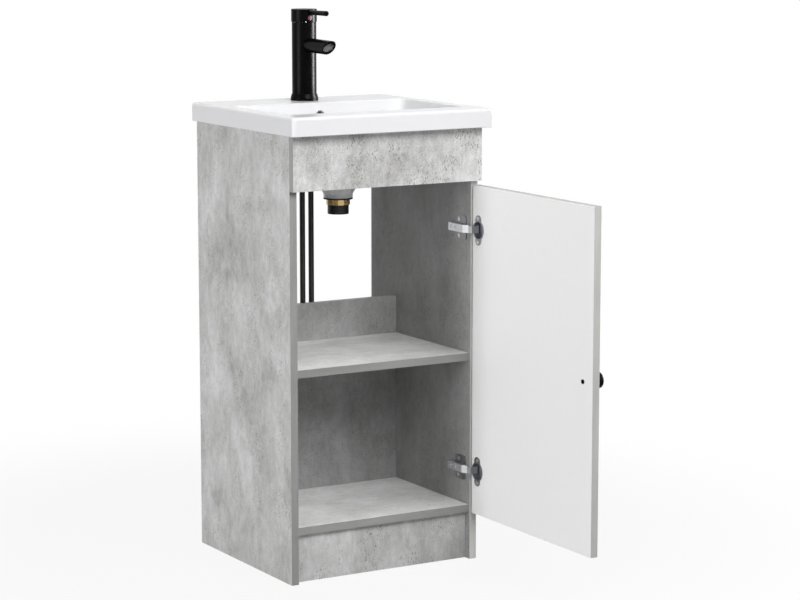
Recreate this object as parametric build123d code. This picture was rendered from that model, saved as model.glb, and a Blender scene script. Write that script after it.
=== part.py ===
from build123d import *
import math
import os

# Vanity unit: a laminated cabinet with one door, a ceramic slab basin, a single lever faucet,
# its waste and two hanging supply hoses. Millimetres, +Z up, the front looks along -Y.
# The origin is on the floor, at mid-width, in the plane of the wall behind the cabinet.
# The door is modelled open at 90 degrees, as it stands when someone reaches inside.

# Cabinet
cabinet_width = 410.0
side_depth = 386.0
side_height = 853.0
board = 15.0
fascia_height = 104.0
plinth_height = 94.0
plinth_setback = 16.5
middle_shelf_top = 411.0
shelf_setback = 5.0
pipe_space = 86.0
back_height = 486.0
rail_height = 70.0
rail_dowel_spacing = 42.0
back_dowel_spacing = 150.0
fascia_bolt_spacing = 56.0
wall_screw_spacing = 300.0
wall_screw_hole = 4.0

# Hidden joinery of the boards
bolt_sleeve_radius = 3.0
bolt_shank_radius = 2.2
bolt_hold = 10.0
bolt_reach = 24.0
bolt_head = 3.0
lock_radius = 7.5
lock_depth = 12.0
dowel_radius = 4.0
dowel_hold = 10.0
dowel_reach = 20.0
bolt_passage = 0.4
lock_slot_depth = 2.0
lock_slot_width = 1.6
lock_slot_length = 8.0
fitting_clearance = 0.1
hole_extra = 0.5
joint_from_edge = 50.0

# Door
door_reveal = 0.5
door_top_gap = 9.0
door_height = 646.0
door_board = 15.0
door_gap = 3.0
pin_from_edge = 5.6
pin_depth = 6.2
knob_radius = 15.0
knob_reach = 22.0
knob_neck_radius = 7.0
knob_neck = 7.0
knob_from_edge = 30.6
knob_screw_radius = 2.0
knob_screw_head = 4.2
knob_screw_head_height = 2.2
knob_thread_depth = 12.0
knob_edge = 3.0

# Hinges
hinge_from_end = 86.0
cup_radius = 17.4
cup_wall = 1.1
cup_depth = 11.3
cup_from_edge = 20.5
cup_clearance = 0.1
flange_thickness = 1.2
flange_ring_radius = 19.0
flange_width = 20.0
flange_length = 58.0
cup_screw_spacing = 46.0
knuckle_radius = 2.6
knuckle_half_length = 6.9
hinge_pin_radius = 1.25
pin_fit = 0.05
side_play = 0.3
cheek_thickness = 2.2
cheek_half_width = 3.1
cheek_depth = 3.1
cheek_front = 3.5
slot_clearance = 0.3
arm_hole_clearance = 0.2
arm_sheet = 2.0
foot_sheet = 2.2
arm_leg_sheet = 2.4
arm_height = 8.0
arm_half_width = 7.5
arm_length = 64.0
arm_inner_setback = 2.0
nose_length = 12.0
leg_offset = 13.9
plate_thickness = 2.5
plate_front_setback = 50.0
plate_depth = 36.0
plate_height = 48.0
plate_corner = 8.0
plate_tail = 8.0
plate_tail_width = 12.0
hinge_screw_spacing = 32.0
hinge_screw_setback = 37.0
small_screw_radius = 1.9
small_screw_length = 11.0
small_head_radius = 3.6
small_head_height = 1.0
driver_slot_width = 1.0
driver_slot_length = 4.4
adjust_radius = 2.0
adjust_front_setback = 58.0
adjust_spacing = 18.0

# Basin
basin_width = 436.0
basin_overhang = 26.0
rim_height = 36.0
deck_thickness = 16.0
slab_corner = 8.0
slab_edge = 6.0
slab_foot_edge = 1.0
bowl_width = 380.0
bowl_back = 128.0
bowl_front_setback = 22.0
bowl_depth = 120.0
bowl_taper_x = 45.0
bowl_taper_back = 22.0
bowl_taper_front = 39.0
bowl_top_corner = 14.0
bowl_bottom_corner = 42.0
bowl_bottom_edge = 26.0
bowl_lip = 3.0
basin_wall = 11.0
bowl_floor = 12.0
pocket_margin_x = 34.0
pocket_back = 18.0
pocket_front = 44.0
outlet_from_wall = 202.0
outlet_boss_radius = 42.0
outlet_cone_radius = 35.0
outlet_neck_radius = 28.5
outlet_boss_drop = 30.0
outlet_cone_drop = 11.0
outlet_neck_drop = 7.0
outlet_bore_radius = 22.5
waste_recess_depth = 5.0
overflow_radius = 10.0
overflow_drop = 26.0
duct_width = 44.0
duct_wall = 8.0
duct_channel = 9.0
duct_rear = 99.0
duct_floor_drop = 34.0

# Waste
waste_radius = 21.0
waste_wall = 2.5
waste_length = 88.5
tail_radius = 20.7
tail_length = 16.0
waste_flange_radius = 31.0
waste_flange_thickness = 2.5
recess_clearance = 0.5
seal_thickness = 1.5
seal_inner_radius = 22.6
gasket_radius = 28.6
gasket_thickness = 3.0
nut_radius = 23.0
nut_height = 11.0
nut_fit = 0.1
waste_slot_width = 12.0
waste_slot_height = 14.0
waste_slot_drop = 11.0
spider_drop = 28.0
spider_thickness = 6.0
spider_arm = 3.0
spider_hub_radius = 6.5
plug_radius = 28.5
plug_cap = 3.6
plug_edge = 1.4
plug_gap = 0.3
plug_stem_radius = 4.0
plug_neck_radius = 8.0
plug_neck = 6.0
stem_clearance = 0.06
plug_travel = 9.0

# Faucet
tap_from_wall = 66.0
tap_hole_radius = 17.5
body_radius = 24.25
body_height = 153.2
body_edge = 0.4
base_gasket_radius = 25.5
base_gasket_thickness = 1.0
base_gasket_inset = 0.5
base_ring_radius = 27.5
base_ring_height = 13.0
base_ring_edge = 5.0
base_ring_shoulder = 0.8
base_ring_clearance = 0.1
spout_radius = 14.0
spout_rise = 110.0
spout_drop_angle = 1.0
spout_reach_top = 113.0
spout_cut_angle = 39.4
spout_bore = 8.0
aerator_radius = 11.2
aerator_length = 7.0
aerator_inset = 2.6
aerator_mesh_radius = 9.0
aerator_mesh_depth = 0.6
aerator_throat_radius = 6.4
aerator_throat_depth = 4.5
aerator_shift = -2.0
aerator_clearance = 0.1
cartridge_radius = 17.0
cartridge_height = 36.0
cartridge_clearance = 0.2
retaining_ring_height = 5.0
retaining_ring_bore = 12.0
cartridge_neck_radius = 11.5
top_inset = 1.0
water_channel = 4.0
seam = 0.8
cap_radius = 25.5
cap_height = 25.0
cap_wall = 3.0
cap_roof = 12.0
cap_edge = 1.2
cap_groove_drop = 7.5
cap_groove_width = 0.8
cap_groove_depth = 0.6
carrier_radius = 16.0
carrier_height = 6.0
carrier_gap = 0.4
carrier_edge = 3.0
carrier_web = 6.0
carrier_shaft_radius = 5.0
carrier_shaft_length = 14.0
shaft_fit = 0.06
tilt_pin_back = 18.5
tilt_pin_rise = 4.0
tilt_pin_radius = 1.5
tilt_pin_half_length = 15.0
tilt_pin_fit = 0.05
lug_radius = 2.8
lug_half_width = 6.0
tilt_travel = 20.0
wedge_start = 15.5
lever_radius = 4.7
lever_tip_radius = 5.1
lever_reach = 94.0
lever_drop = 6.0
lever_socket = 5.5
lever_round = 2.0
lever_fit = 0.05
lever_flare_start = 0.45
indicator_radius = 4.75
indicator_depth = 1.8
indicator_inset = 1.5
indicator_drop = 17.0
indicator_gap = 0.1

# Faucet clamp under the deck
stud_radius = 4.0
stud_back = 9.0
stud_length = 62.0
stud_hold = 9.0
stud_fit = 0.1
clamp_radius = 26.0
clamp_rubber_thickness = 1.5
clamp_plate_thickness = 2.0
clamp_opening_half_width = 16.6
clamp_opening_start = 3.5
clamp_nut_flats = 13.0
clamp_nut_height = 6.5

# Supply hoses
hose_radius = 5.5
hose_half_spacing = 9.8
hose_forward = 6.4
nipple_radius = 4.5
nipple_hold = 15.0
nipple_fit = 0.1
ferrule_radius = 6.6
ferrule_top_drop = 20.0
ferrule_length = 16.0
hose_left_length = 385.0
hose_right_length = 410.0
end_ferrule_length = 18.0
end_nut_length = 20.0
end_nut_flats = 19.0
end_nut_bore = 7.5
end_nut_roof = 4.0

# Places worked out from the sizes above
half_width = cabinet_width / 2
inner_half = half_width - board
side_front = -side_depth
fascia_front = side_front - board
fascia_bottom = side_height - fascia_height
back_front = -(pipe_space + board)
shelf_front = side_front + shelf_setback
plinth_front = side_front + plinth_setback
middle_shelf_z = middle_shelf_top - board
rail_bottom = side_height - rail_height
rail_mid = rail_bottom + rail_height / 2

door_width = cabinet_width - 2 * door_reveal
door_bottom = fascia_bottom - door_top_gap - door_height
pin_x = half_width - door_reveal - pin_from_edge
pin_y = side_front - door_gap - pin_depth
door_inner = pin_x - pin_depth
door_outer = door_inner + door_board
door_hinge_edge = pin_y + pin_from_edge
door_free_edge = door_hinge_edge - door_width
door_mid = door_bottom + door_height / 2
hinge_heights = {
    "lower": door_bottom + hinge_from_end,
    "upper": door_bottom + door_height - hinge_from_end,
}
cup_y = door_hinge_edge - cup_from_edge
flange_face = door_inner - flange_thickness
knob_y = door_free_edge + knob_from_edge

rim_top = side_height + rim_height
basin_depth = side_depth + board + basin_overhang
bowl_front = side_depth - bowl_front_setback
pocket_top = rim_top - deck_thickness
bowl_bottom = rim_top - bowl_depth
bowl_underside = bowl_bottom - bowl_floor
outlet_bottom = bowl_underside - outlet_boss_drop - outlet_cone_drop - outlet_neck_drop
waste_seat = bowl_bottom - waste_recess_depth

deck = rim_top
body_bottom = deck + base_gasket_thickness
body_top = body_bottom + body_height
spout_z = deck + spout_rise
cap_bottom = body_top + seam
cap_top = cap_bottom + cap_height
tilt_pin_y = -tap_from_wall + tilt_pin_back
tilt_pin_z = cap_bottom + tilt_pin_rise
lever_z = cap_top - lever_drop
indicator_z = cap_top - indicator_drop
hose_y = -tap_from_wall - hose_forward
ferrule_top = deck - ferrule_top_drop
hose_top = ferrule_top - ferrule_length


def span(x0, x1, y0, y1, z0, z1):
    """A block between two opposite corners."""
    block = Box(abs(x1 - x0), abs(y1 - y0), abs(z1 - z0))
    return Pos((x0 + x1) / 2, (y0 + y1) / 2, (z0 + z1) / 2) * block


def post(x, y, z0, z1, radius):
    """An upright cylinder."""
    return Pos(x, y, (z0 + z1) / 2) * Cylinder(radius, abs(z1 - z0))


def rod(start, end, radius):
    """A cylinder from one point to another."""
    a = Vector(*start)
    b = Vector(*end)
    middle = Plane(origin=(a + b) / 2, z_dir=b - a)
    return middle.location * Cylinder(radius, (b - a).length)


def cam_bolt():
    """One bolt along local +Z: it is held below z = 0, and its head lies in the lock."""
    sleeve = post(0, 0, -bolt_hold, 0, bolt_sleeve_radius)
    shank = post(0, 0, 0, bolt_reach, bolt_shank_radius)
    head = post(0, 0, bolt_reach - bolt_head / 2, bolt_reach + bolt_head / 2, bolt_sleeve_radius)
    return sleeve + shank + head


def cam_lock():
    """One lock whose face is flush with the board at local x = board / 2."""
    face = board / 2
    drum = rod((face - lock_depth, 0, bolt_reach), (face, 0, bolt_reach), lock_radius)
    passage_radius = bolt_sleeve_radius + bolt_passage
    passage = post(0, 0, bolt_reach - lock_radius - 1, bolt_reach + bolt_head, passage_radius)
    half_slot = lock_slot_width / 2
    driver_slot = span(face - lock_slot_depth, face + 1, -half_slot, half_slot,
                       bolt_reach - lock_slot_length / 2, bolt_reach + lock_slot_length / 2)
    return drum - passage - driver_slot


def cam_holes():
    """What one bolt and its lock take out of both boards."""
    held = post(0, 0, -bolt_hold - hole_extra, 0, bolt_sleeve_radius + fitting_clearance)
    passage = post(0, 0, 0, bolt_reach, bolt_sleeve_radius + bolt_passage)
    start = board / 2 - lock_depth - fitting_clearance
    pocket = rod((start, 0, bolt_reach), (board, 0, bolt_reach), lock_radius + fitting_clearance)
    return held + passage + pocket


def dowel():
    """One dowel along local +Z, across the joint at z = 0."""
    return post(0, 0, -dowel_hold, dowel_reach, dowel_radius)


def dowel_hole():
    """The two drillings that one dowel sits in."""
    return post(0, 0, -dowel_hold - hole_extra, dowel_reach + hole_extra, dowel_radius + fitting_clearance)


def joint_frames():
    """Where boards join: two lists of local frames, one for the cam bolts and one for the dowels."""
    bolts = []
    dowels = []
    down = (0, 0, -1)
    for sign in (-1, 1):
        inward = (-sign, 0, 0)
        x = sign * inner_half
        for height in (plinth_height + board / 2, middle_shelf_z + board / 2):
            front = shelf_front + joint_from_edge
            rear = back_front - joint_from_edge
            bolts.append(Plane((x, front, height), x_dir=down, z_dir=inward))
            bolts.append(Plane((x, rear, height), x_dir=down, z_dir=inward))
            dowels.append(Plane((x, (front + rear) / 2, height), x_dir=down, z_dir=inward))
        back_mid = back_front + board / 2
        for height in (joint_from_edge, back_height - joint_from_edge):
            bolts.append(Plane((x, back_mid, height), x_dir=(0, 1, 0), z_dir=inward))
        for side in (-1, 1):
            height = back_height / 2 + side * back_dowel_spacing / 2
            dowels.append(Plane((x, back_mid, height), x_dir=(0, 1, 0), z_dir=inward))
        bolts.append(Plane((x, -board / 2, rail_mid), x_dir=(0, -1, 0), z_dir=inward))
        for side in (-1, 1):
            height = rail_mid + side * rail_dowel_spacing / 2
            dowels.append(Plane((x, -board / 2, height), x_dir=down, z_dir=inward))
        panel_mid = sign * (half_width - board / 2)
        fascia_mid = (fascia_bottom + side_height) / 2
        for side in (-1, 1):
            height = fascia_mid + side * fascia_bolt_spacing / 2
            bolts.append(Plane((panel_mid, side_front, height), x_dir=inward, z_dir=(0, 1, 0)))
        dowels.append(Plane((panel_mid, side_front, fascia_mid), x_dir=(1, 0, 0), z_dir=(0, 1, 0)))
        plinth_mid = plinth_front + board / 2
        dowels.append(Plane((x, plinth_mid, plinth_height / 2), x_dir=down, z_dir=inward))
        post_x = sign * inner_half / 2
        dowels.append(Plane((post_x, plinth_mid, plinth_height), x_dir=(1, 0, 0), z_dir=down))
    return bolts, dowels


bolt_frames, dowel_frames = joint_frames()
joinery_holes = [frame.location * cam_holes() for frame in bolt_frames]
joinery_holes += [frame.location * dowel_hole() for frame in dowel_frames]


def drilled(panel):
    """A board with the drillings of every joint that reaches it."""
    box = panel.bounding_box()
    near = []
    for hole in joinery_holes:
        other = hole.bounding_box()
        apart = other.min.X > box.max.X or other.max.X < box.min.X
        apart = apart or other.min.Y > box.max.Y or other.max.Y < box.min.Y
        apart = apart or other.min.Z > box.max.Z or other.max.Z < box.min.Z
        if not apart:
            near.append(hole)
    for hole in near:
        panel = panel - hole
    return panel


def small_screw(face, y, z):
    """A countersunk-looking screw that goes into the right-hand board along +X from its head."""
    head = rod((face - small_head_height, y, z), (face, y, z), small_head_radius)
    shank = rod((face, y, z), (face + small_screw_length, y, z), small_screw_radius)
    top = face - small_head_height
    return head + shank - driver_cross(top, top + small_head_height / 2, y, z)


def driver_cross(x0, x1, y, z):
    """The cross that a screwdriver fits, in a head that looks along X."""
    half = driver_slot_width / 2
    reach = driver_slot_length / 2
    upright = span(x0, x1, y - half, y + half, z - reach, z + reach)
    return upright + span(x0, x1, y - reach, y + reach, z - half, z + half)


def small_screw_hole(face, y, z):
    start = (face - 1, y, z)
    end = (face + small_screw_length + hole_extra, y, z)
    return rod(start, end, small_screw_radius + fitting_clearance)


plate_face = inner_half - plate_thickness
hinge_screw_y = side_front + hinge_screw_setback
hinge_screw_places = []
cup_screw_places = []
for height in hinge_heights.values():
    for side in (-1, 1):
        hinge_screw_places.append((hinge_screw_y, height + side * hinge_screw_spacing / 2))
        cup_screw_places.append((cup_y, height + side * cup_screw_spacing / 2))


def side_panel(sign):
    panel = span(sign * inner_half, sign * half_width, side_front, 0, 0, side_height)
    panel = drilled(panel)
    if sign > 0:
        for y, z in hinge_screw_places:
            panel = panel - small_screw_hole(plate_face, y, z)
    return panel


def fascia_panel():
    return drilled(span(-half_width, half_width, fascia_front, side_front, fascia_bottom, side_height))


def shelf(z0):
    return drilled(span(-inner_half, inner_half, shelf_front, back_front, z0, z0 + board))


def plinth():
    return drilled(span(-inner_half, inner_half, plinth_front, plinth_front + board, 0, plinth_height))


def back_panel():
    return drilled(span(-inner_half, inner_half, back_front, back_front + board, 0, back_height))


def rear_rail():
    rail = drilled(span(-inner_half, inner_half, -board, 0, rail_bottom, side_height))
    for sign in (-1, 1):
        x = sign * wall_screw_spacing / 2
        rail = rail - rod((x, -board - 1, rail_mid), (x, 1, rail_mid), wall_screw_hole)
    return rail


def hinge_arm(height):
    """Gooseneck arm: knuckle on the pin, foot out of the cup, leg back past the board's edge, channel."""
    wall_x = plate_face
    face_x = wall_x - arm_height
    rear = side_front + arm_inner_setback + arm_length
    nose_y = side_front + arm_inner_setback
    leg_outer = pin_x - leg_offset
    z0 = height - arm_half_width
    z1 = height + arm_half_width
    outline = Polyline(
        (wall_x, rear),
        (face_x, rear),
        (face_x, nose_y + nose_length),
        (leg_outer, nose_y),
        (leg_outer + arm_leg_sheet, nose_y),
        (wall_x, nose_y + nose_length),
        close=True,
    )
    body = Pos(0, 0, z0) * extrude(make_face(outline), 2 * arm_half_width)
    cavity = span(face_x + arm_sheet, wall_x + 1, nose_y + nose_length + arm_sheet, rear - arm_sheet,
                  z0 + arm_sheet, z1 - arm_sheet)
    foot_far = pin_y - knuckle_radius
    z2 = height - knuckle_half_length
    z3 = height + knuckle_half_length
    leg = span(leg_outer, leg_outer + arm_leg_sheet, foot_far, nose_y, z2, z3)
    foot = span(leg_outer, pin_x, foot_far, foot_far + foot_sheet, z2, z3)
    knuckle = post(pin_x, pin_y, z2, z3, knuckle_radius)
    bore = post(pin_x, pin_y, z2 - 1, z3 + 1, hinge_pin_radius + pin_fit)
    arm = body - cavity + leg + foot + knuckle - bore
    for place in adjust_places():
        hole_radius = adjust_radius + arm_hole_clearance
        arm = arm - rod((face_x - 1, place, height), (wall_x, place, height), hole_radius)
    return arm


def adjust_places():
    """Along Y, the two adjusting screws of an arm."""
    rear = side_front + adjust_front_setback
    return [rear - adjust_spacing, rear]


def adjust_screw(y, height):
    wall_x = plate_face
    face_x = wall_x - arm_height
    head = rod((face_x - small_head_height, y, height), (face_x, y, height), small_head_radius)
    shank = rod((face_x, y, height), (wall_x, y, height), adjust_radius)
    top = face_x - small_head_height
    return head + shank - driver_cross(top, top + small_head_height / 2, y, height)


def hinge_plate(height):
    """Mounting plate on the side panel, with rounded wings."""
    rear = side_front + plate_front_setback
    middle = rear - plate_depth / 2
    outline = Plane((plate_face, middle, height), x_dir=(0, 1, 0), z_dir=(1, 0, 0))
    plate = extrude(outline * RectangleRounded(plate_depth, plate_height, plate_corner), plate_thickness)
    half_tail = plate_tail_width / 2
    tail = span(plate_face, inner_half, rear - 1, rear + plate_tail, height - half_tail, height + half_tail)
    plate = plate + tail
    for y, z in hinge_screw_places:
        if abs(z - height) < plate_height / 2:
            plate = plate - small_screw_hole(plate_face, y, z)
    return plate


def cup_axis_rod(n0, n1, height, radius):
    """A cylinder on the cup's axis, between two depths from the door's inner face."""
    return rod((door_inner + n0, cup_y, height), (door_inner + n1, cup_y, height), radius)


def hinge_cup(height):
    """Pressed cup with its screw flange, slotted where the arm passes, and two cheeks for the pin."""
    flange_plane = Plane((flange_face, cup_y, height), x_dir=(0, 0, 1), z_dir=(1, 0, 0))
    strip = RectangleRounded(flange_length, flange_width, flange_width / 2 - 0.5)
    flange = extrude(flange_plane * strip, flange_thickness)
    ring = cup_axis_rod(-flange_thickness, 0, height, flange_ring_radius)
    shell = cup_axis_rod(-flange_thickness, cup_depth, height, cup_radius)
    hollow = cup_axis_rod(-flange_thickness - 1, cup_depth - cup_wall, height, cup_radius - cup_wall)
    slot_half = knuckle_half_length + side_play
    slot_end = pin_y - cheek_half_width
    slot = span(flange_face - 1, door_inner + cup_depth - cup_wall, slot_end, pin_y + cup_from_edge,
                height - slot_half, height + slot_half)
    cup = flange + ring + shell - hollow - slot
    for side in (-1, 1):
        near = height + side * slot_half
        far = near + side * cheek_thickness
        cup = cup + span(
            pin_x - cheek_front, pin_x + cheek_depth,
            pin_y - cheek_half_width, pin_y + cheek_half_width, near, far,
        )
    bore_half = slot_half + cheek_thickness + 1
    cup = cup - post(pin_x, pin_y, height - bore_half, height + bore_half, hinge_pin_radius + pin_fit)
    for y, z in cup_screw_places:
        if abs(z - height) < flange_length / 2:
            cup = cup - small_screw_hole(flange_face, y, z)
    return cup


def hinge_pin(height):
    half = knuckle_half_length + side_play + cheek_thickness - 0.1
    return post(pin_x, pin_y, height - half, height + half, hinge_pin_radius)


def door_panel():
    door_top = door_bottom + door_height
    panel = span(door_inner, door_outer, door_free_edge, door_hinge_edge, door_bottom, door_top)
    for height in hinge_heights.values():
        panel = panel - cup_axis_rod(-1, cup_depth + cup_clearance, height, cup_radius + cup_clearance)
        slot_half = knuckle_half_length + side_play + cheek_thickness + slot_clearance
        panel = panel - span(
            door_inner - 1, pin_x + cheek_depth + slot_clearance,
            pin_y - cheek_half_width, pin_y + cheek_half_width + slot_clearance,
            height - slot_half, height + slot_half,
        )
    for y, z in cup_screw_places:
        panel = panel - small_screw_hole(flange_face, y, z)
    return panel - knob_axis_rod(-door_board - 1, 1, knob_screw_radius + fitting_clearance)


def knob_axis_rod(start, end, radius):
    """A cylinder on the knob's axis, between two distances from the door's outer face."""
    return rod((door_outer + start, knob_y, door_mid), (door_outer + end, knob_y, door_mid), radius)


def knob():
    """Round knob on a short neck, on the outside of the door."""
    neck = knob_axis_rod(0, knob_neck, knob_neck_radius)
    head = knob_axis_rod(knob_neck, knob_reach, knob_radius)
    rims = head.edges().filter_by(GeomType.CIRCLE)
    head = fillet(rims, knob_edge)
    thread_radius = knob_screw_radius + fitting_clearance
    return neck + head - knob_axis_rod(-1, knob_thread_depth + hole_extra, thread_radius)


def knob_screw():
    """Pan head on the inner face, shank through the board into the knob."""
    outer = door_inner - knob_screw_head_height
    head = knob_axis_rod(-door_board - knob_screw_head_height, -door_board, knob_screw_head)
    rim = head.edges().filter_by(GeomType.CIRCLE).sort_by(Axis.X)[0]
    head = fillet(rim, knob_screw_head_height * 0.6)
    shank = knob_axis_rod(-door_board, knob_thread_depth, knob_screw_radius)
    return head + shank - driver_cross(outer, outer + knob_screw_head_height * 0.4, knob_y, door_mid)


def bowl_section(z, grow):
    """The bowl's outline at a height, larger by grow all round."""
    down = (rim_top - z) / bowl_depth
    width = bowl_width - 2 * bowl_taper_x * down + 2 * grow
    back = bowl_back + bowl_taper_back * down - grow
    front = bowl_front - bowl_taper_front * down + grow
    corner = bowl_top_corner + (bowl_bottom_corner - bowl_top_corner) * down + grow
    outline = RectangleRounded(width, front - back, corner)
    return Pos(0, -(front + back) / 2, z) * outline


def bowl_solid(top, bottom, grow, bottom_edge):
    """The bowl's form between two heights, with a rounded bottom edge."""
    form = loft([bowl_section(top, grow), bowl_section(bottom, grow)], ruled=True)
    lowest = form.faces().sort_by(Axis.Z)[0]
    return fillet(lowest.edges(), bottom_edge)


def overflow_duct():
    """The block behind and under the bowl that carries the overflow, and the channel inside it."""
    half = duct_width / 2
    top = pocket_top + 1
    floor = bowl_underside - duct_floor_drop + duct_channel
    wall_behind = -duct_rear
    back_face = -bowl_back - overflow_radius
    casing = span(-half, half, wall_behind, back_face - basin_wall, floor - duct_wall, top)
    casing_top = bowl_underside + 1
    casing = casing + span(-half, half, wall_behind, -outlet_from_wall, floor - duct_wall, casing_top)
    inner = half - duct_wall
    rear = wall_behind - duct_wall
    channel_top = rim_top - overflow_drop + overflow_radius
    channel = span(-inner, inner, rear, rear - duct_channel, floor, channel_top)
    channel = channel + span(-inner, inner, rear, -outlet_from_wall, floor, floor + duct_channel)
    return casing, channel


def outlet_boss():
    """The thick ring, cone and neck under the bowl that the waste clamps on."""
    top = bowl_underside + 2
    cone_top = bowl_underside - outlet_boss_drop
    neck_top = cone_top - outlet_cone_drop
    bevel = outlet_boss_radius - outlet_cone_radius
    profile = Polyline(
        (0, top),
        (outlet_boss_radius, top),
        (outlet_boss_radius, cone_top + bevel),
        (outlet_cone_radius, cone_top),
        (outlet_neck_radius, neck_top),
        (outlet_neck_radius, outlet_bottom),
        (0, outlet_bottom),
        close=True,
    )
    face = make_face(Plane.XZ * profile)
    return Pos(0, -outlet_from_wall, 0) * revolve(face, Axis.Z)


def basin():
    half = basin_width / 2
    slab = span(-half, half, -basin_depth, 0, side_height, rim_top)
    slab = fillet(slab.edges().filter_by(Axis.Z), slab_corner)
    slab = fillet(slab.faces().sort_by(Axis.Z)[-1].edges(), slab_edge)
    slab = chamfer(slab.faces().sort_by(Axis.Z)[0].edges(), slab_foot_edge)
    pocket_half = half - pocket_margin_x
    pocket_start = pocket_front - basin_depth
    pocket = span(-pocket_half, pocket_half, pocket_start, -pocket_back, side_height - 1, pocket_top)
    outer_top = pocket_top + deck_thickness / 2
    outer = bowl_solid(outer_top, bowl_underside, basin_wall, bowl_bottom_edge + bowl_floor / 2)
    casing, channel = overflow_duct()
    body = slab - pocket + outer + casing + outlet_boss()
    body = body - bowl_solid(rim_top, bowl_bottom, 0, bowl_bottom_edge)
    lip = []
    for edge in body.edges():
        centre = edge.center()
        inside = abs(centre.X) < bowl_width / 2 + 1 and -bowl_front - 1 < centre.Y < -bowl_back + 1
        if inside and abs(centre.Z - rim_top) < 0.01:
            lip.append(edge)
    body = fillet(lip, bowl_lip)
    body = body - channel
    body = body - post(0, -outlet_from_wall, outlet_bottom - 1, bowl_bottom + 1, outlet_bore_radius)
    recess = waste_flange_radius + recess_clearance
    body = body - post(0, -outlet_from_wall, waste_seat, bowl_bottom + 1, recess)
    body = body - post(0, -tap_from_wall, pocket_top - 1, rim_top + 1, tap_hole_radius)
    overflow_z = rim_top - overflow_drop
    overflow_end = -duct_rear - duct_wall - duct_channel / 2
    body = body - rod((0, -outlet_from_wall, overflow_z), (0, overflow_end, overflow_z), overflow_radius)
    return body


waste_flange_bottom = waste_seat + seal_thickness
waste_top = waste_flange_bottom + waste_flange_thickness
waste_bottom = waste_flange_bottom - waste_length


def ring(x, y, z0, z1, outer, inner):
    """A flat ring or a tube."""
    return post(x, y, z0, z1, outer) - post(x, y, z0 - 1, z1 + 1, inner)


def waste_body():
    """Flanged tube with overflow windows and a three-armed bridge that guides the plug's stem."""
    y = -outlet_from_wall
    tail_top = waste_bottom + tail_length
    tube = ring(0, y, tail_top, waste_flange_bottom, waste_radius, waste_radius - waste_wall)
    tube = tube + ring(0, y, waste_bottom, tail_top, tail_radius, waste_radius - waste_wall)
    flange = ring(0, y, waste_flange_bottom, waste_top, waste_flange_radius, waste_radius - waste_wall)
    body = tube + flange
    window_top = waste_flange_bottom - waste_slot_drop
    window = span(-waste_slot_width / 2, waste_slot_width / 2, 0, waste_radius + 1,
                  window_top - waste_slot_height, window_top)
    bridge_top = waste_flange_bottom - spider_drop
    arm = span(-spider_arm / 2, spider_arm / 2, 0, waste_radius - waste_wall / 2,
               bridge_top - spider_thickness, bridge_top)
    bridge = post(0, 0, bridge_top - spider_thickness, bridge_top, spider_hub_radius)
    windows = []
    for turn in (0, 120, 240):
        bridge = bridge + Rot(0, 0, turn + 60) * arm
        windows.append(Pos(0, y, 0) * Rot(0, 0, turn) * window)
    bore = post(0, 0, bridge_top - spider_thickness - 1, bridge_top + 1, plug_stem_radius + stem_clearance)
    body = body + Pos(0, y, 0) * (bridge - bore)
    for window in windows:
        body = body - window
    return body


def waste_top_seal():
    y = -outlet_from_wall
    return ring(0, y, waste_seat, waste_flange_bottom, waste_flange_radius, seal_inner_radius)


def waste_gasket():
    y = -outlet_from_wall
    bottom = outlet_bottom - gasket_thickness
    return ring(0, y, bottom, outlet_bottom, gasket_radius, waste_radius + nut_fit)


def waste_nut():
    """Thin brass ring nut with flats for a strap wrench."""
    y = -outlet_from_wall
    top = outlet_bottom - gasket_thickness
    outline = RegularPolygon(nut_radius, 12)
    blank = Pos(0, y, top - nut_height) * extrude(outline, nut_height)
    return blank - post(0, y, top - nut_height - 1, top + 1, waste_radius + nut_fit)


def plug():
    """Round cap that rests just above the flange, with a neck that the stem screws into."""
    y = -outlet_from_wall
    bottom = waste_top + plug_gap
    cap = post(0, y, bottom, bottom + plug_cap, plug_radius)
    cap = fillet(cap.edges().filter_by(GeomType.CIRCLE).sort_by(Axis.Z)[-1], plug_edge)
    neck = post(0, y, bottom - plug_neck, bottom, plug_neck_radius)
    hole = post(0, y, bottom - plug_neck - 1, bottom, plug_stem_radius + stem_clearance)
    return cap + neck - hole


def plug_stem():
    y = -outlet_from_wall
    guide_bottom = waste_flange_bottom - spider_drop - spider_thickness
    return post(0, y, guide_bottom - plug_travel, waste_top + plug_gap, plug_stem_radius)


def spout_direction():
    """Unit vector along the spout, forward and a little down."""
    drop = math.radians(spout_drop_angle)
    return Vector(0, -math.cos(drop), -math.sin(drop))


def spout_face_plane():
    """The plane of the spout's cut end, looking forward and down."""
    forward = spout_direction()
    start = Vector(0, -tap_from_wall, spout_z)
    tilt = math.radians(spout_cut_angle)
    normal = Vector(0, -math.cos(tilt), -math.sin(tilt))
    middle_reach = spout_reach_top - spout_radius * math.tan(tilt)
    return Plane(origin=start + forward * middle_reach, x_dir=(1, 0, 0), z_dir=normal)


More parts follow.
